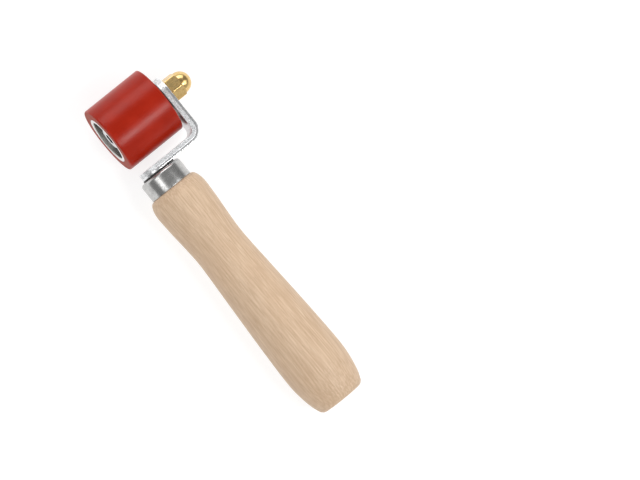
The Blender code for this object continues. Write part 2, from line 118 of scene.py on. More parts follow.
def local_points(node, place):
    inverse = place.inverted()
    return [inverse @ vert.co for vert in frame["nodes"][node].data.vertices]


def round_size(node, place):
    """Outer and inner radius, and lowest and highest point, of a turned CAD node."""
    points = local_points(node, place)
    radii = [math.hypot(p.x, p.y) for p in points]
    heights = [p.z for p in points]
    return Round(max(radii), min(radii), min(heights), max(heights))


def corner_angle(node, place):
    """Where a corner of a CAD node of hexagonal section lies about its axis."""
    corner = max(local_points(node, place), key=lambda p: p.xy.length)
    return math.atan2(corner.y, corner.x)


# --- Outlines -------------------------------------------------------------------------
def arc(centre, radius, start, end, steps=8):
    """Points on a circular arc, from start to end in degrees, both ends included."""
    angles = [math.radians(start + (end - start) * i / steps) for i in range(steps + 1)]
    return [
        (centre[0] + radius * math.cos(a), centre[1] + radius * math.sin(a))
        for a in angles
    ]


def rounded(corners, steps=4):
    """A closed profile of corners: (radius, height) or (radius, height, rounding)."""
    line = []
    count = len(corners)
    for i, corner in enumerate(corners):
        point = Vector(corner[:2])
        if len(corner) == 2:
            line.append(tuple(point))
            continue
        ends = []
        for other in (corners[i - 1], corners[(i + 1) % count]):
            side = Vector(other[:2]) - point
            ends.append(point + side * min(corner[2] / side.length, 0.49))
        for k in range(steps + 1):
            t = k / steps
            line.append(tuple(
                (1 - t) ** 2 * ends[0] + 2 * t * (1 - t) * point + t**2 * ends[1]
            ))
    return line


def smooth_line(stations, steps):
    """Points on a Catmull-Rom curve that passes through all the stations."""
    knots = [Vector(station) for station in stations]
    knots = [2 * knots[0] - knots[1], *knots, 2 * knots[-1] - knots[-2]]
    line = []
    for a, b, c, d in zip(knots, knots[1:], knots[2:], knots[3:]):
        for i in range(steps):
            t = i / steps
            bend = (2 * a - 5 * b + 4 * c - d) * t**2 + (3 * b - a - 3 * c + d) * t**3
            line.append(tuple(b + ((c - a) * t + bend) / 2))
    return [*line, stations[-1]]


def hexagon(flats, corner, sharpness=90):
    """Radius of a hexagon by angle, with slightly rounded corners, one at corner."""

    def radius(angle):
        total = 0.0
        for k in range(6):
            facing = np.cos(angle - corner - math.radians(30 + 60 * k))
            total = total + np.maximum(facing, 0.0) ** sharpness
        return flats / 2 / total ** (1 / sharpness)

    return radius


def cross(arm, slot, turn):
    """Radius of a plus shape by angle, with arms that long and half that wide."""

    def radius(angle):
        along = np.maximum(np.abs(np.cos(angle - turn)), 1e-6)
        across = np.maximum(np.abs(np.sin(angle - turn)), 1e-6)
        first = np.minimum(slot / along, arm / across)
        second = np.minimum(slot / across, arm / along)
        return np.maximum(first, second)

    return radius


# --- Meshes ---------------------------------------------------------------------------
def new_piece(name, points, faces, place):
    """A mesh object drawn in the tool's or the axle's frame."""
    mesh = bpy.data.meshes.new(name)
    mesh.from_pydata(points, [], faces)
    piece = bpy.data.objects.new(name, mesh)
    bpy.context.scene.collection.objects.link(piece)
    piece.matrix_world = place
    bm = bmesh.new()
    bm.from_mesh(mesh)
    bmesh.ops.recalc_face_normals(bm, faces=bm.faces)
    bm.to_mesh(mesh)
    bm.free()
    smooth(piece)
    return piece


def smooth(piece, angle=SHARP_ANGLE):
    piece.data.shade_smooth()
    piece.data.set_sharp_from_angle(angle=angle)


def lathe(name, rows, place, steps=RING_STEPS, closed=True):
    """A turned piece about Z.

    A row is (radius, height), each a number or a function of the angle. A closed
    profile makes a ring, and an open one starts and ends on the axis.
    """
    angles = np.arange(steps) * math.tau / steps
    points, rings = [], []
    for row in rows:
        radius, height = (v(angles) if callable(v) else np.full(steps, v) for v in row)
        first = len(points)
        if radius.max() < 1e-9:
            points.append((0.0, 0.0, float(height[0])))
            rings.append([first] * steps)
            continue
        x, y = radius * np.cos(angles), radius * np.sin(angles)
        points += list(zip(x.tolist(), y.tolist(), height.tolist()))
        rings.append(list(range(first, first + steps)))
    pairs = list(zip(rings, rings[1:]))
    if closed:
        pairs.append((rings[-1], rings[0]))
    faces = []
    for upper, lower in pairs:
        for i in range(steps):
            j = (i + 1) % steps
            corners = (upper[i], upper[j], lower[j], lower[i])
            faces.append(list(dict.fromkeys(corners)))
    return new_piece(name, points, faces, place)


def cut(piece, cutter):
    """Takes the cutter's shape out of the piece."""
    boolean = piece.modifiers.new("Cut", "BOOLEAN")
    boolean.object = cutter
    bpy.context.view_layer.update()
    graph = bpy.context.evaluated_depsgraph_get()
    piece.data = bpy.data.meshes.new_from_object(piece.evaluated_get(graph))
    piece.modifiers.clear()
    bpy.data.objects.remove(cutter)
    smooth(piece)


def stand_for(piece, node, finish):
    """The piece takes the CAD node's place on its body, with a finish of its own."""
    piece.data.materials.clear()
    piece.data.materials.append(finish)
    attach(piece, frame["nodes"][node]["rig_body"])
    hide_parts(node)


# --- Materials ------------------------------------------------------------------------
class Finish:
    """One material: a Principled BSDF and helpers that add nodes in front of it."""

    def __init__(self, name, **constants):
        self.material = bpy.data.materials.new(name)
        self.material.use_nodes = True
        self.tree = self.material.node_tree
        self.shader = self.tree.nodes["Principled BSDF"]
        self.place = self.add("ShaderNodeTexCoord").outputs["Object"]
        for socket, value in constants.items():
            self.set(socket.replace("_", " "), value)

    def add(self, kind, settings=(), inputs=()):
        node = self.tree.nodes.new(kind)
        for key, value in dict(settings).items():
            setattr(node, key, value)
        for key, value in dict(inputs).items():
            self.feed(node.inputs[key], value)
        return node

    def feed(self, socket, value):
        if isinstance(value, bpy.types.NodeSocket):
            self.tree.links.new(value, socket)
        elif isinstance(value, tuple) and len(value) == 3 and socket.type == "RGBA":
            socket.default_value = (*value, 1.0)
        else:
            socket.default_value = value

    def set(self, socket, value):
        self.feed(self.shader.inputs[socket], value)

    def math(self, operation, *values):
        inputs = dict(enumerate(values))
        return self.add("ShaderNodeMath", {"operation": operation}, inputs).outputs[0]

    def blend(self, factor, low, high):
        """A colour between low and high."""
        node = self.add("ShaderNodeMix", {"data_type": "RGBA"}, {0: factor, 6: low, 7: high})
        return node.outputs[2]

    def step(self, value, start, end, low=0.0, high=1.0):
        """Goes smoothly from low to high as the value goes from start to end."""
        settings = {"interpolation_type": "SMOOTHSTEP"}
        inputs = {0: value, 1: start, 2: end, 3: low, 4: high}
        return self.add("ShaderNodeMapRange", settings, inputs).outputs[0]

    def stretch(self, scale):
        """The piece's coordinates multiplied by a scale along each axis."""
        inputs = {0: self.place, 1: scale}
        return self.add("ShaderNodeVectorMath", {"operation": "MULTIPLY"}, inputs).outputs[0]

    def noise(self, scale, vector=None, detail=2.0):
        where = self.place if vector is None else vector
        inputs = {"Vector": where, "Scale": scale, "Detail": detail}
        return self.add("ShaderNodeTexNoise", inputs=inputs).outputs["Fac"]

    def radius(self):
        """Distance from the piece's own Z axis."""
        flat = self.stretch((1.0, 1.0, 0.0))
        length = self.add("ShaderNodeVectorMath", {"operation": "LENGTH"}, {0: flat})
        return length.outputs["Value"]

    def around(self):
        """Coordinates whose features run in circles round the Z axis."""
        parts = self.add("ShaderNodeSeparateXYZ", inputs={0: self.place}).outputs
        inputs = {0: self.radius(), 1: 0.0, 2: parts[2]}
        return self.add("ShaderNodeCombineXYZ", inputs=inputs).outputs[0]

    def bump(self, height, distance, under=None):
        """A normal from a height between 0 and 1 that stands for that distance."""
        inputs = {"Height": height, "Distance": distance, "Strength": 1.0}
        if under is not None:
            inputs["Normal"] = under
        return self.add("ShaderNodeBump", inputs=inputs).outputs["Normal"]


def silicone():
    """Red silicone, ground satin round the roller and cut duller on its ends, which carry a paler,
    browner red as painted sheen.
    """
    made = Finish("red_silicone", Specular_IOR_Level=0.24)
    tone = made.noise(90.0, detail=4.0)
    colour = made.blend(made.step(tone, 0.3, 0.7), (0.350, 0.0125, 0.0012), (0.400, 0.0165, 0.0028))
    bloom = made.step(made.noise(700.0, made.stretch((1.0, 1.0, 0.35)), 5.0), 0.55, 0.80)
    colour = made.blend(made.math("MULTIPLY", bloom, 0.06), colour, (0.50, 0.085, 0.035))
    # The end faces get a paler, browner red: painted sheen standing in for the grazing reflection
    # on them.
    facing = made.add("ShaderNodeTexCoord").outputs["Normal"]
    facing = made.add("ShaderNodeSeparateXYZ", inputs={0: facing}).outputs[2]
    end = made.step(made.math("ABSOLUTE", facing), 0.80, 0.98)
    made.set("Base Color", made.blend(end, colour, (0.360, 0.0500, 0.0220)))
    satin = made.step(tone, 0.2, 0.8, 0.28, 0.34)
    made.set("Roughness", made.math("MULTIPLY_ADD", end, 0.28, satin))
    rings = made.noise(5200.0, made.around(), 2.0)  # left by the grinding
    skin = made.noise(3500.0, detail=3.0)
    normal = made.bump(rings, 0.008 * MM)
    made.set("Normal", made.bump(skin, 0.008 * MM, normal))
    return made.material


PLATE_COLOURS = (0.70, 0.71, 0.72), (0.82, 0.83, 0.84)


def plated_zinc():
    """Bright zinc plate: satin, a little cloudy, with handling scratches."""
    made = Finish("zinc_plate", Metallic=1.0)
    cloud = made.noise(420.0, detail=5.0)
    grain = made.noise(5200.0, detail=2.0)
    colour = made.blend(made.step(cloud, 0.3, 0.7), *PLATE_COLOURS)
    made.set("Base Color", colour)
    made.set("Roughness", made.math("MULTIPLY_ADD", grain, 0.16, 0.20))
    scratches = made.noise(2400.0, made.stretch((1.0, 0.06, 1.0)), 2.0)
    normal = made.bump(grain, 0.004 * MM)
    made.set("Normal", made.bump(scratches, 0.006 * MM, normal))
    return made.material


def sheared_zinc():
    """The bracket: zinc over rolled faces and over the torn part of its edges."""
    made = Finish("bracket_zinc", Metallic=1.0)
    torn = made.add("ShaderNodeAttribute", {"attribute_name": "torn"}).outputs["Fac"]
    cloud = made.noise(520.0, detail=4.0)
    grain = made.noise(5200.0, detail=2.0)
    grit = made.noise(2300.0, detail=6.0)
    pits = made.step(grit, 0.44, 0.60)
    even = made.blend(made.step(cloud, 0.3, 0.7), (0.74, 0.75, 0.76), (0.87, 0.88, 0.89))
    rough = made.blend(pits, (0.92, 0.93, 0.94), (0.50, 0.51, 0.52))
    made.set("Base Color", made.blend(torn, even, rough))
    even = made.math("MULTIPLY_ADD", grain, 0.14, 0.20)
    rough = made.math("MULTIPLY_ADD", pits, 0.12, 0.42)
    share = made.math("MULTIPLY", torn, made.math("SUBTRACT", rough, even))
    made.set("Roughness", made.math("ADD", even, share))
    normal = made.bump(made.math("MULTIPLY", torn, grit), 0.050 * MM)
    rolled = made.noise(1100.0, made.stretch((0.10, 1.0, 0.10)), 3.0)
    normal = made.bump(rolled, 0.010 * MM, normal)
    made.set("Normal", made.bump(grain, 0.004 * MM, normal))
    return made.material


def dark_steel():
    """The washers' near-black steel, painted shade for the gaps they sit in: matt, with a little
    brown in it.
    """
    made = Finish("dark_steel", Metallic=1.0)
    cloud = made.noise(700.0, detail=4.0)
    # Near black: painted shade for the dark gaps under the bracket and beside the roller.
    made.set("Base Color", made.blend(cloud, (0.040, 0.040, 0.042), (0.085, 0.078, 0.072)))
    made.set("Roughness", made.math("MULTIPLY_ADD", cloud, 0.20, 0.36))
    made.set("Normal", made.bump(cloud, 0.010 * MM))
    return made.material


def polished_nickel():
    """Nickel on drawn steel: bright, a little mottled, with draw lines."""
    made = Finish("polished_nickel", Metallic=1.0)
    lines = made.noise(1900.0, made.stretch((1.0, 1.0, 0.05)), 3.0)
    dull = made.noise(520.0, detail=6.0)
    cloudy = made.step(dull, 0.3, 0.75)
    made.set("Base Color", made.blend(cloudy, (0.56, 0.557, 0.548), (0.43, 0.427, 0.420)))
    made.set("Roughness", made.step(dull, 0.3, 0.75, 0.23, 0.31))
    mottle = made.noise(1100.0, detail=3.0)
    normal = made.bump(lines, 0.006 * MM)
    made.set("Normal", made.bump(mottle, 0.008 * MM, normal))
    return made.material


def turned_brass():
    """Brass from bar: polished, with turning marks, small dull spots and fine pits."""
    made = Finish("brass", Metallic=1.0)
    tarnish = made.noise(700.0, detail=6.0)
    colour = made.blend(made.step(tarnish, 0.35, 0.80), (0.84, 0.60, 0.26), (0.66, 0.42, 0.16))
    made.set("Base Color", colour)
    made.set("Roughness", made.step(tarnish, 0.3, 0.8, 0.17, 0.28))
    rings = made.noise(4200.0, made.around(), 2.0)
    pits = made.step(made.noise(2600.0, detail=4.0), 0.60, 0.85)
    normal = made.bump(rings, 0.005 * MM)
    made.set("Normal", made.bump(pits, 0.005 * MM, normal))
    return made.material


def turned_steel(name, bright, roughness, scale, bore=None):
    """Bright steel with circular turning or grinding marks.

    Within the radius given as its bore, it is duller, and darker as painted shade in the recess
    there.
    """
    made = Finish(name, Metallic=1.0)
    marks = made.noise(scale, made.around(), 3.0)
    cloud = made.noise(260.0, detail=4.0)
    dark = tuple(channel * 0.80 for channel in bright)
    inside = 0.0 if bore is None else made.step(made.radius(), bore, bore + 0.3 * MM, 1.0, 0.0)
    colour = made.blend(made.step(cloud, 0.3, 0.8), bright, dark)
    # Within the bore the colour darkens: painted shade for the recess in the roller's end.
    made.set("Base Color", made.blend(inside, colour, (0.44, 0.43, 0.40)))
    even = made.math("MULTIPLY_ADD", cloud, 0.14, roughness)
    made.set("Roughness", made.math("MULTIPLY_ADD", inside, 0.10, even))
    made.set("Normal", made.bump(marks, 0.010 * MM))
    return made.material


def socket_zinc(face, socket):
    """The axle screw: zinc plate, with painted shade, near black, down in the key socket."""
    made = Finish("screw_zinc", Metallic=1.0)
    height = made.add("ShaderNodeSeparateXYZ", inputs={0: made.place}).outputs[2]
    near_axis = made.step(made.radius(), socket, socket + 0.10 * MM, 1.0, 0.0)
    deep = made.step(height, face + 0.16 * MM, face + 0.30 * MM)
    inside = made.math("MULTIPLY", near_axis, deep)
    cloud = made.noise(420.0, detail=5.0)
    grain = made.noise(5200.0, detail=2.0)
    colour = made.blend(made.step(cloud, 0.3, 0.7), *PLATE_COLOURS)
    # Near black down in the key socket: painted shade for the deep hole.
    made.set("Base Color", made.blend(inside, colour, (0.035, 0.035, 0.035)))
    even = made.math("MULTIPLY_ADD", grain, 0.16, 0.24)
    made.set("Roughness", made.math("MULTIPLY_ADD", inside, 0.30, even))
    made.set("Normal", made.bump(grain, 0.004 * MM))
    return made.material


def cage_steel():
    """Pressed bearing cage: dull steel."""
    made = Finish("cage_steel", Metallic=1.0)
    cloud = made.noise(900.0, detail=4.0)
    made.set("Base Color", made.blend(cloud, (0.30, 0.29, 0.27), (0.42, 0.41, 0.39)))
    made.set("Roughness", made.math("MULTIPLY_ADD", cloud, 0.20, 0.30))
    made.set("Normal", made.bump(cloud, 0.010 * MM))
    return made.material


def pale_wood():
    """Straight-grained pale hardwood: close rings, fibres, pale streaks and pores."""
    made = Finish("pale_wood", Specular_IOR_Level=0.35, Coat_Weight=0.08, Coat_Roughness=0.45)
    drift = made.noise(60.0, made.stretch((1.0, 1.0, 0.30)), 3.0)
    parts = made.add("ShaderNodeSeparateXYZ", inputs={0: made.place}).outputs
    # The tree's heart lies beside the handle and leans a little, so rings run out.
    lean = made.math("MULTIPLY", parts[2], 0.022)
    across = made.math("ADD", made.math("ADD", parts[0], 0.046), lean)
    depth = made.math("ADD", parts[1], 0.021)
    flat = made.add("ShaderNodeCombineXYZ", inputs={0: across, 1: depth, 2: 0.0}).outputs[0]
    reach = made.add("ShaderNodeVectorMath", {"operation": "LENGTH"}, {0: flat}).outputs["Value"]
    ring = made.math("MULTIPLY_ADD", drift, 3.0, made.math("MULTIPLY", reach, 1 / (1.4 * MM)))
    year = made.math("FRACT", ring)
    late = made.math("MULTIPLY", made.step(year, 0.25, 0.90), made.step(year, 0.92, 1.0, 1.0, 0.0))
    fibre = made.noise(1150.0, made.stretch((1.0, 1.0, 0.050)), 5.0)
    hair = made.noise(3600.0, made.stretch((1.0, 1.0, 0.035)), 2.0)
    streaks = made.step(made.noise(1500.0, made.stretch((1.0, 1.0, 0.070)), 2.0), 0.56, 0.76)
    pores = made.step(made.noise(4200.0, made.stretch((1.0, 1.0, 0.090)), 1.0), 0.68, 0.76)
    patches = made.noise(34.0, made.stretch((1.0, 1.0, 0.5)), 3.0)
    colour = made.blend(made.step(fibre, 0.30, 0.70), (0.735, 0.545, 0.380), (0.600, 0.420, 0.275))
    colour = made.blend(made.math("MULTIPLY", late, 0.22), colour, (0.500, 0.330, 0.200))
    colour = made.blend(made.step(hair, 0.50, 0.80, 0.0, 0.32), colour, (0.440, 0.295, 0.180))
    colour = made.blend(made.math("MULTIPLY", streaks, 0.38), colour, (0.840, 0.680, 0.510))
    colour = made.blend(made.step(patches, 0.40, 0.70, 0.0, 0.30), colour, (0.700, 0.480, 0.310))
    colour = made.blend(made.math("MULTIPLY", pores, 0.45), colour, (0.300, 0.190, 0.110))
    made.set("Base Color", colour)
    made.set("Roughness", made.math("MULTIPLY_ADD", hair, 0.16, 0.44))
    raised = made.math("MULTIPLY", fibre, 0.6)
    sunk = made.math("MULTIPLY", pores, 0.5)
    relief = made.math("SUBTRACT", raised, sunk)
    normal = made.bump(relief, 0.050 * MM)
    made.set("Normal", made.bump(hair, 0.022 * MM, normal))
    return made.material


# --- The handle's end of the tool -----------------------------------------------------
def handle_outline(shoulder):
    """The grip's outside, from the CAD node's own rings: (radius, height) pairs."""
    rings = {}
    for point in local_points("handle", TOOL):
        height = round(point.z, 5)
        rings[height] = max(rings.get(height, 0.0), math.hypot(point.x, point.y))
    inside = 5 * MM  # the pilot hole's rings are all smaller than this
    outside = [(r, h) for h, r in rings.items() if h < shoulder and r > inside]
    return sorted(outside, key=lambda ring: -ring[1])


def make_handle():
    """Turned grip with a softened butt, a chamfered tenon and a tapered pilot hole."""
    size = round_size("handle", TOOL)
    ferrule = round_size("ferrule", TOOL)
    shoulder = ferrule.low + 0.02 * MM
    grip = handle_outline(shoulder)
    butt = grip.pop()  # the edge of the flat butt
    outline = smooth_line(grip, 6)
    soft, steps = 0.7 * MM, 6
    edge, last = Vector(butt), Vector(outline[-1])
    start = edge + (last - edge).normalized() * soft
    end = edge - Vector((soft, 0.0))
    for k in range(steps + 1):
        t = k / steps
        outline.append(tuple((1 - t) ** 2 * start + 2 * t * (1 - t) * edge + t**2 * end))
    tenon = max(
        math.hypot(p.x, p.y) for p in local_points("handle", TOOL) if p.z > shoulder + MM
    )
    chamfer = 1.2 * MM
    pilot = round_size("bracket_screw", TOOL).outer * 0.52
    pilot_depth, pilot_taper = 40 * MM, 6 * MM
    rows = [
        (pilot, size.high),
        (tenon - chamfer, size.high),
        (tenon, size.high - chamfer),
        (tenon, shoulder),
        *outline,
        (butt[0] * 0.5, butt[1]),
        (0.0, butt[1]),
        (0.0, size.high - pilot_depth - pilot_taper),
        (pilot, size.high - pilot_depth),
    ]
    piece = lathe("turned_handle", rows, TOOL, FINE_STEPS)
    sand_by_hand(piece, shoulder - 2 * MM)
    return piece


def sand_by_hand(piece, top):
    """Takes a little off the grip below top, so that it is never quite round."""
    depth, inside = 0.07 * MM, 5 * MM
    across, along = 60, 22  # how quickly the sanding varies, per metre
    for vert in piece.data.vertices:
        radius = vert.co.xy.length
        if vert.co.z < top and radius > inside:
            x, y, z = vert.co
            sway = noise.noise(Vector((x * across, y * across, z * along)))
            vert.co.xy *= 1 - (0.5 + 0.5 * sway) * depth / radius


def make_ferrule():
    """Drawn cup with a round shoulder, a rolled rim and a hole for the screw."""
    size = round_size("ferrule", TOOL)
    wall, shoulder_radius = 1.0 * MM, 1.9 * MM
    rim, rim_inside = 0.35 * MM, 0.2 * MM
    bend = (size.outer - shoulder_radius, size.high - shoulder_radius)
    rows = [
        (size.inner, size.high),
        *arc(bend, shoulder_radius, 90, 0, 12),
        (size.outer, size.low + 6.0 * MM),
        (size.outer, size.low + 3.0 * MM),
        *arc((size.outer - rim, size.low + rim), rim, 0, -90, 5),
        *arc((size.outer - wall + rim_inside, size.low + rim_inside), rim_inside, -90, -180, 3),
        *arc(bend, shoulder_radius - wall, 0, 90, 8),
        (size.inner, size.high - wall),
    ]
    return lathe("drawn_ferrule", rows, TOOL, FINE_STEPS)


def make_washer(name, node, place, rounding=0.25 * MM):
    """A ring of square section with rounded edges: a washer or a short tube."""
    size = round_size(node, place)
    corners = [
        (size.outer, size.high, rounding),
        (size.outer, size.low, rounding),
        (size.inner, size.low, rounding),
        (size.inner, size.high, rounding),
    ]
    return lathe(name, rounded(corners), place)


def make_screw():
    """Countersunk wood screw with a cross recess."""
    size = round_size("bracket_screw", TOOL)
    shank = WOOD_SCREW_RADIUS
    rim = size.high - 0.3 * MM
    neck = rim - (size.outer - shank)
    arm, slot, turn = 3.1 * MM, 0.62 * MM, math.radians(20)
    mouth = cross(arm, slot, turn)
    deep = cross(arm * 0.55, slot * 0.8, turn)
    bevel = 0.12 * MM
    thread_start, thread_end = size.low + 26 * MM, size.low + 6 * MM
    rows = [
        (0.0, size.high - 2.3 * MM),
        (deep, size.high - 1.9 * MM),
        (mouth, size.high - bevel),
        (lambda a: mouth(a) + bevel, size.high),
        (size.outer - 0.35 * MM, size.high),
        (size.outer, rim + 0.1 * MM),
        (size.outer, rim),
        (shank, neck),
        (shank, thread_start),
        *wood_thread(shank, thread_start, thread_end),
        (shank * 0.6, thread_end - MM),
        (0.0, size.low),
    ]
    return lathe("countersunk_screw", rows, TOOL, FINE_STEPS, closed=False)


def wood_thread(radius, start, end):
    """Thread ridges down the screw's lower part, inside the wood."""
    pitch, depth, half = 2.6 * MM, 0.7 * MM, 0.8 * MM
    root = radius - depth
    rows = []
    for i in range(int((start - end) / pitch)):
        crest = start - (i + 0.5) * pitch
        rows += [(root, crest + half), (radius, crest), (root, crest - half)]
    return rows


# --- The bracket ----------------------------------------------------------------------
def bent(point, start, middle_radius, level):
    """Where a point of the flat blank goes when the strip is bent up from start on."""
    along, across, above = point
    angle = min(max((along - start) / middle_radius, 0.0), math.pi / 2)
    rest = along - start - middle_radius * angle
    radius = middle_radius - above
    x = start + radius * math.sin(angle)
    z = level + middle_radius - radius * math.cos(angle)
    return (x + rest, across, z) if angle == 0.0 else (x, across, z + rest)


def stadium(half, length, step):
    """Outline of the blank and, at each point, which way is out."""
    count = int(math.pi * half / step)
    run = int(length / step)
    outline = []
    for end, start, side in ((0.0, 90, -1), (length, -90, 1)):
        for k in range(count):
            a = math.radians(start + 180 * k / count)
            out = Vector((math.cos(a), math.sin(a)))
            outline.append((Vector((end, 0.0)) + half * out, out))
        for k in range(run):
            along = abs(end - length * k / run)
            outline.append((Vector((along, side * half)), Vector((0.0, side))))
    return outline


def edge_rows(thickness):
    """Across the blank's edge, from its outer face: (distance in, height, share torn).

    The die drew the outer rim in and burnished a land, and the rest tore off behind it.
    """
    half, roll, torn, burr, count = thickness / 2, 0.42 * MM, 0.09 * MM, 0.15 * MM, 10
    land = 1.35 * MM - half
    rows = [(roll - x, z, 0.0) for x, z in arc((0.0, roll - half), roll, -90, 0, 6)]
    rows += [(0.0, land, 0.0), (0.17 * MM, land + 0.10 * MM, 0.7)]
    start, end = land + 0.24 * MM, half - burr
    rows += [(torn, start + (end - start) * k / count, 1.0) for k in range(count + 1)]
    rows += [(torn + burr - x, z, 0.5) for x, z in arc((0.0, half - burr), burr, 0, 90, 3)[1:]]
    return rows


def make_blank(half, length):
    """The flat strip, with a burnished and a torn band round its edge."""
    outline = stadium(half, length, step=0.4 * MM)
    count = len(outline)
    fine_across, fine_up, depth = 1900, 800, 0.07 * MM  # of the torn metal's roughness
    points, tears = [], []
    for inset, height, tear in edge_rows(STRIP_THICKNESS):
        for spot, out in outline:
            seed = Vector((spot.x * fine_across, spot.y * fine_across, height * fine_up))
            rough = tear * noise.fractal(seed, 1.0, 2.0, 4) * depth
            place = spot - out * max(inset - rough, 0.0)
            points.append((place.x, place.y, height))
            tears.append(tear)
    faces = [list(range(count)), list(range(len(points) - count, len(points)))]
    for first in range(0, len(points) - count, count):
        for i in range(count):
            j = (i + 1) % count
            faces.append([first + i, first + j, first + count + j, first + count + i])
    piece = new_piece("bent_bracket", points, faces, TOOL)
    mark = piece.data.attributes.new("torn", "FLOAT", "POINT")
    mark.data.foreach_set("value", tears)
    return piece


def make_bracket():
    """The strip, bent up from its blank, with a hole for the axle and one for the screw."""
    points = local_points("bracket", TOOL)
    half = max(p.y for p in points)
    arm_outer, bottom = max(p.x for p in points), min(p.z for p in points)
    middle_radius = BEND_INNER_RADIUS + STRIP_THICKNESS / 2
    bend_start = arm_outer - STRIP_THICKNESS - BEND_INNER_RADIUS
    bend_length = middle_radius * math.pi / 2
    upright = -(bottom + STRIP_THICKNESS + BEND_INNER_RADIUS)
    piece = make_blank(half, bend_start + bend_length + upright)
    bm = bmesh.new()
    bm.from_mesh(piece.data)
    for k in range(BEND_CUTS + 1):
        bmesh.ops.bisect_plane(
            bm,
            geom=[*bm.verts, *bm.edges, *bm.faces],
            plane_co=(bend_start + bend_length * k / BEND_CUTS, 0.0, 0.0),
            plane_no=(1.0, 0.0, 0.0),
        )
    level = bottom + STRIP_THICKNESS / 2
    for vert in bm.verts:
        vert.co = bent(vert.co, bend_start, middle_radius, level)
    bmesh.ops.recalc_face_normals(bm, faces=bm.faces)
    bm.to_mesh(piece.data)
    bm.free()
    hole, reach = AXLE_SHANK_RADIUS + 0.25 * MM, 60 * MM
    rows = [(0.0, reach), (hole, reach), (hole, 0.0), (0.0, 0.0)]
    cut(piece, lathe("hole", rows, AXLE, RING_STEPS, closed=False))
    cut(piece, make_countersink(bottom - 2 * MM))
    return piece


def make_countersink(end):
    """Cutter for the screw's hole, a little larger than the screw, down to that height."""
    screw = round_size("bracket_screw", TOOL)
    gap = 0.15 * MM
    head, shank = screw.outer + gap, WOOD_SCREW_RADIUS + gap
    top, rim = screw.high + 3 * MM, screw.high - 0.35 * MM
    neck = rim - (head - shank)
    rows = [(0.0, top), (head, top), (head, rim), (shank, neck), (shank, end), (0.0, end)]
    return lathe("sink", rows, TOOL, RING_STEPS, closed=False)


# --- The axle -------------------------------------------------------------------------
def make_axle_bolt():
    """Socket-head cap screw with a straight knurl round its head."""
    size = round_size("axle_bolt", AXLE)
    shank, tip = AXLE_SHANK_RADIUS, 0.8 * MM
    face, seat = size.low, size.low + AXLE_HEAD_HEIGHT
    teeth, tooth = 54, 0.11 * MM
    knurl_start, knurl_end = seat - 1.1 * MM, face + 1.35 * MM
    socket = hexagon(KEY_FLATS, 0.0, 140)  # a corner points along the handle
    mouth, floor = KEY_MOUTH_RADIUS, face + 4.0 * MM

    def knurl(angle):
        return size.outer - tooth * (0.5 + 0.5 * np.cos(teeth * angle))

    def mouth_edge(angle):
        return face + (mouth - socket(angle)) * 0.25 + 0.02 * MM

    rows = [
        (0.0, size.high),
        (shank - tip, size.high),
        (shank, size.high - tip),
        (shank, seat + 0.5 * MM),
        (shank + 0.15 * MM, seat + 0.12 * MM),
        (shank + 0.5 * MM, seat),
        (size.outer - 0.40 * MM, seat),
        (size.outer - 0.14 * MM, seat - 0.25 * MM),
        (size.outer - 0.12 * MM, seat - 0.80 * MM),
        (knurl, knurl_start),
        (knurl, knurl_end),
        (size.outer - 0.06 * MM, face + 1.00 * MM),
        (size.outer - 0.06 * MM, face + 0.75 * MM),
        (size.outer - 0.30 * MM, face + 0.32 * MM),
        (size.outer - 0.80 * MM, face + 0.04 * MM),
        (size.outer - 1.10 * MM, face),
        (mouth, face),
        (socket, mouth_edge),
        (socket, floor),
        (lambda a: socket(a) * 0.93, floor + 0.1 * MM),
        (0.0, floor + 1.3 * MM),
    ]
    return lathe("cap_screw", rows, AXLE, teeth * 6, closed=False)


def make_acorn_nut():
    """Hexagon with chamfered corners and a dome over a blind bore."""
    size = round_size("acorn_nut", AXLE)
    side = hexagon(NUT_FLATS, corner_angle("acorn_nut", AXLE))
    face = 6.3 * MM  # radius of the circle where the chamfer starts
    slope = math.tan(math.radians(40))
    top, base, dome = size.low + NUT_HEX_HEIGHT, size.low, NUT_DOME_RADIUS
    below_chamfer = 2.2 * MM
    bore, lead_in, depth = AXLE_SHANK_RADIUS + 0.1 * MM, 0.8 * MM, 10.5 * MM
    rows = [
        (0.0, size.high),
        *arc((0.0, size.high - dome), dome, 90, 0, 28)[1:],
        (dome, top - (dome - face) * slope),
        (side, lambda a: top - (side(a) - face) * slope),
        (side, top - below_chamfer),
        (side, base + below_chamfer),
        (side, lambda a: base + (side(a) - face) * slope),
        (face, base),
        (bore + lead_in, base),
        (bore, base + lead_in),
        (bore, base + depth),
        (0.0, base + depth + MM),
    ]
    return lathe("cap_nut", rows, AXLE, FINE_STEPS, closed=False)


# --- The roller -----------------------------------------------------------------------
def make_tyre():
    """Sleeve with ground, rounded edges."""
    size = round_size("roller_tyre", AXLE)
    edge, lip, stretches = 0.85 * MM, 0.25 * MM, 6
    start, end = size.high - edge, size.low + edge
    rows = [
        *arc((size.outer - edge, start), edge, 90, 0, 6),
        *[(size.outer, start + (end - start) * k / stretches) for k in range(1, stretches)],
        *arc((size.outer - edge, end), edge, 0, -90, 6),
        (size.inner + lip, size.low),
        (size.inner, size.low + lip),
        (size.inner, size.high - lip),
        (size.inner + lip, size.high),
    ]
    return lathe("silicone_tyre", rows, AXLE, TYRE_STEPS)


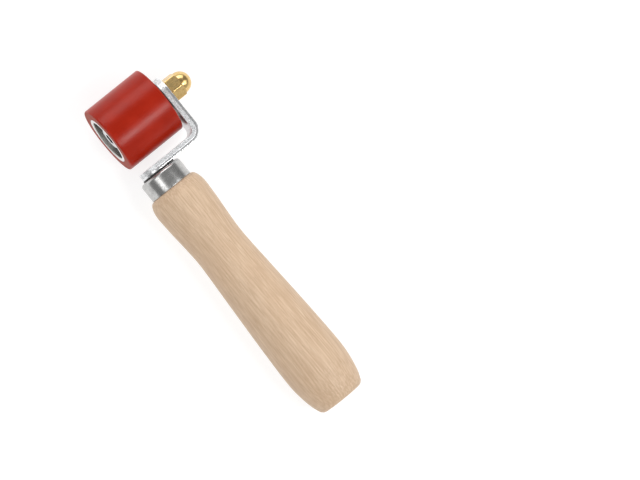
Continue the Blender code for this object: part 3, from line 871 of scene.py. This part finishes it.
def make_core():
    """Tube with a seat for a bearing in each end and a web between them."""
    size = round_size("roller_core", AXLE)
    free = round_size("free_bearing_outer_ring", AXLE)
    near = round_size("bracket_bearing_outer_ring", AXLE)
    web, gap, chamfer = size.inner, 0.05 * MM, 0.5 * MM
    soft, softer = 0.1 * MM, 0.2 * MM
    seat = free.outer + 0.08 * MM
    corners = [
        (seat + chamfer, size.high, soft),
        (size.outer, size.high, softer),
        (size.outer, size.low, softer),
        (seat + chamfer, size.low, soft),
        (seat, size.low + chamfer, soft),
        (seat, free.high + gap),
        (web, free.high + gap),
        (web, near.low - gap),
        (seat, near.low - gap),
        (seat, size.high - chamfer / 2, soft),
    ]
    return lathe("steel_core", rounded(corners), AXLE, FINE_STEPS)


def make_bearing_ring(name, node, groove_radius, pitch):
    """Inner or outer ring, with its groove and rounded outside corners."""
    size = round_size(node, AXLE)
    middle = (size.low + size.high) / 2
    around_balls = size.inner > pitch
    land = size.inner if around_balls else size.outer
    reach = math.degrees(math.acos(abs(land - pitch) / groove_radius))
    facing = 0 if around_balls else 180
    groove = arc((pitch, middle), groove_radius, facing - reach, facing + reach, 12)
    crisp, soft = 0.1 * MM, 0.35 * MM
    if around_balls:
        seat, step = 10.5 * MM, 3.15 * MM  # where the shields sit
        corners = [
            (seat, size.high, crisp),
            (size.outer, size.high, soft),
            (size.outer, size.low, soft),
            (seat, size.low, crisp),
            (seat, middle - step),
            (land, middle - step),
            *groove,
            (land, middle + step),
            (seat, middle + step),
        ]
    else:
        corners = [
            (land, size.high, crisp),
            *groove,
            (land, size.low, crisp),
            (size.inner, size.low, soft),
            (size.inner, size.high, soft),
        ]
    return lathe(name, rounded(corners), AXLE, RING_STEPS)


def make_shield(name, node, outward):
    """Pressed shield: crimped rim, shallow dish and a lip beside the inner ring."""
    size = round_size(node, AXLE)
    sheet = 0.22 * MM
    face = size.high if outward > 0 else size.low
    dish = 0.11 * MM
    shape = [
        (size.outer, -0.10 * MM),
        (size.outer - 0.25 * MM, 0.0),
        (size.outer - 0.55 * MM, -0.02 * MM),
        (size.outer - 0.80 * MM, -dish),
        (size.inner + 0.90 * MM, -dish),
        (size.inner + 0.60 * MM, -0.02 * MM),
        (size.inner + 0.30 * MM, 0.0),
        (size.inner + 0.05 * MM, -0.06 * MM),
        (size.inner, -0.12 * MM),
    ]
    front = [(radius, face + outward * height) for radius, height in smooth_line(shape, 3)]
    back = [(radius, height - outward * sheet) for radius, height in reversed(front)]
    return lathe(name, [*front, *back], AXLE, RING_STEPS)


def make_ball(name, node):
    """A round ball where the CAD node's faceted one is."""
    low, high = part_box(node)
    bm = bmesh.new()
    bmesh.ops.create_icosphere(bm, subdivisions=4, radius=(high.x - low.x) / 2)
    mesh = bpy.data.meshes.new(name)
    bm.to_mesh(mesh)
    bm.free()
    piece = bpy.data.objects.new(name, mesh)
    bpy.context.scene.collection.objects.link(piece)
    piece.location = (low + high) / 2
    mesh.shade_smooth()
    return piece


def make_bearings(steel, pressed, cage_finish):
    """Two ball bearings, whose cages keep their CAD shape."""
    centre = AXLE.translation
    low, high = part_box("free_bearing_ball_1")
    middle = (low + high) / 2
    pitch = math.hypot(middle.y - centre.y, middle.z - centre.z)
    groove = (high.x - low.x) / 2 + 0.06 * MM
    for label in ("free_bearing", "bracket_bearing"):
        for part in ("inner_ring", "outer_ring"):
            node = f"{label}_{part}"
            ring = make_bearing_ring(f"{label}_ground_{part}", node, groove, pitch)
            stand_for(ring, node, steel)
        for number, outward in ((1, -1), (2, 1)):
            node = f"{label}_shield_{number}"
            shield = make_shield(f"{label}_pressed_shield_{number}", node, outward)
            stand_for(shield, node, pressed)
        for number in range(1, BALL_COUNT + 1):
            node = f"{label}_ball_{number}"
            ball = make_ball(f"{label}_polished_ball_{number}", node)
            stand_for(ball, node, steel)
        cage = frame["nodes"][f"{label}_cage"].data
        cage.materials.clear()
        cage.materials.append(cage_finish)


# --- The stage ------------------------------------------------------------------------
def make_floor():
    """Grey floor with a glow of its own, which make it white and its shadows faint."""
    size = 3.0
    bm = bmesh.new()
    bmesh.ops.create_grid(bm, x_segments=1, y_segments=1, size=size)
    mesh = bpy.data.meshes.new("floor")
    bm.to_mesh(mesh)
    bm.free()
    floor = bpy.data.objects.new("floor", mesh)
    bpy.context.scene.collection.objects.link(floor)
    finish = Finish("white_floor", Roughness=0.9, Specular_IOR_Level=0.1)
    finish.set("Base Color", (0.32, 0.32, 0.32))
    finish.set("Emission Color", (1.0, 1.0, 1.0))
    finish.set("Emission Strength", 0.78)
    mesh.materials.append(finish.material)


def make_softbox(name, azimuth, elevation, size, share):
    """A square light facing the tool. Azimuth 0 is over +X and 90 over +Y.

    Its share is how much of a white floor's brightness comes from it.
    """
    a, e = math.radians(azimuth), math.radians(elevation)
    away = Vector((math.cos(a) * math.cos(e), math.sin(a) * math.cos(e), math.sin(e)))
    aim, distance = Vector((0.0, 0.04, 0.02)), 1.2
    data = bpy.data.lights.new(name, "AREA")
    data.size = size
    data.energy = share * (math.pi * distance) ** 2 / math.sin(e)
    light = bpy.data.objects.new(name, data)
    light.location = aim + away * distance
    light.rotation_euler = away.to_track_quat("Z", "Y").to_euler()
    bpy.context.scene.collection.objects.link(light)


def make_world(level, glow):
    """A grey room, with its walls before and behind the tool lit by the floor."""
    world = bpy.data.worlds.new("studio")
    bpy.context.scene.world = world
    world.use_nodes = True
    tree = world.node_tree

    def math_node(operation, *values):
        node = tree.nodes.new("ShaderNodeMath")
        node.operation = operation
        for socket, value in zip(node.inputs, values):
            if isinstance(value, bpy.types.NodeSocket):
                tree.links.new(value, socket)
            else:
                socket.default_value = value
        return node.outputs[0]

    place = tree.nodes.new("ShaderNodeTexCoord")
    split = tree.nodes.new("ShaderNodeSeparateXYZ")
    tree.links.new(place.outputs["Generated"], split.inputs[0])
    facing = math_node("MULTIPLY", split.outputs[1], split.outputs[1])
    low = math_node("SUBTRACT", 1.0, split.outputs[2])
    share = math_node("MULTIPLY", facing, low)
    background = tree.nodes["Background"]
    tree.links.new(math_node("MULTIPLY_ADD", share, glow, level), background.inputs["Strength"])
    background.inputs["Color"].default_value = (1.0, 1.0, 1.0, 1.0)


def make_camera(target, distance, lean_x, lean_y, roll, lens):
    """Looks down on the target, leaning to the roller's free end, and rolled.

    The angles are in degrees and the lens is in millimetres.
    """
    a, b = math.radians(lean_x), math.radians(lean_y)
    view = Vector((math.sin(a) * math.cos(b), math.sin(b), -math.cos(a) * math.cos(b)))
    up = (Vector((0.0, 1.0, 0.0)) - view.y * view).normalized()
    turn = Matrix((view.cross(up), up, -view)).transposed().to_4x4()
    camera = bpy.data.objects.new("camera", bpy.data.cameras.new("camera"))
    camera.data.lens = lens
    camera.data.sensor_width = 36.0
    bpy.context.scene.collection.objects.link(camera)
    rolled = turn @ Matrix.Rotation(math.radians(-roll), 4, "Z")
    camera.matrix_world = Matrix.Translation(target - view * distance) @ rolled
    bpy.context.scene.camera = camera


# --- All together ---------------------------------------------------------------------
# Inside this radius core_steel is darker: painted shade for the recesses in the roller's ends.
core_bore = round_size("free_bearing_outer_ring", AXLE).outer + 0.25 * MM
screw_face = round_size("axle_bolt", AXLE).low
zinc = plated_zinc()
core_steel = turned_steel("turned_steel", (0.82, 0.82, 0.81), 0.18, 3800.0, core_bore)
ring_steel = turned_steel("bearing_steel", (0.74, 0.74, 0.74), 0.10, 6000.0)
shield_steel = turned_steel("shield_steel", (0.52, 0.51, 0.49), 0.22, 2400.0)
dull_steel = cage_steel()
# The washers' steel is near black: painted shade in the gaps where they sit.
gap_shade_steel = dark_steel()

stand_for(make_handle(), "handle", pale_wood())
stand_for(make_ferrule(), "ferrule", polished_nickel())
washer = make_washer("flat_washer", "support_washer", TOOL)
stand_for(washer, "support_washer", gap_shade_steel)
stand_for(make_screw(), "bracket_screw", zinc)
stand_for(make_bracket(), "bracket", sheared_zinc())
bolt_finish = socket_zinc(screw_face, KEY_MOUTH_RADIUS + 0.03 * MM)
stand_for(make_axle_bolt(), "axle_bolt", bolt_finish)
washer = make_washer("distance_washer", "axle_washer", AXLE)
stand_for(washer, "axle_washer", gap_shade_steel)
spacer = make_washer("spacer_tube", "bearing_spacer", AXLE, 0.1 * MM)
stand_for(spacer, "bearing_spacer", core_steel)
stand_for(make_acorn_nut(), "acorn_nut", turned_brass())
stand_for(make_tyre(), "roller_tyre", silicone())
stand_for(make_core(), "roller_core", core_steel)
make_bearings(ring_steel, shield_steel, dull_steel)

make_floor()
make_world(0.26, 0.40)
for name, azimuth, elevation, size, share in (
    ("narrow_band", 288, 60, 0.30, 0.24),
    ("broad_band", 78, 31, 0.60, 0.11),
    ("ferrule_band", 176, 52, 0.40, 0.07),
    ("nut_front", 325, 43, 0.70, 0.14),
    ("nut_back", 45, 28, 0.70, 0.08),
    ("free_end_front", 225, 55, 0.60, 0.06),
    ("free_end_back", 140, 55, 0.60, 0.09),
):
    make_softbox(name, azimuth, elevation, size, share)
make_camera(
    target=Vector((31.2, -30.0, 20.0)) * MM,
    distance=2.447,
    lean_x=10.12,
    lean_y=-1.29,
    roll=39.09,
    lens=253.1,
)
bpy.context.scene.view_settings.view_transform = "Standard"
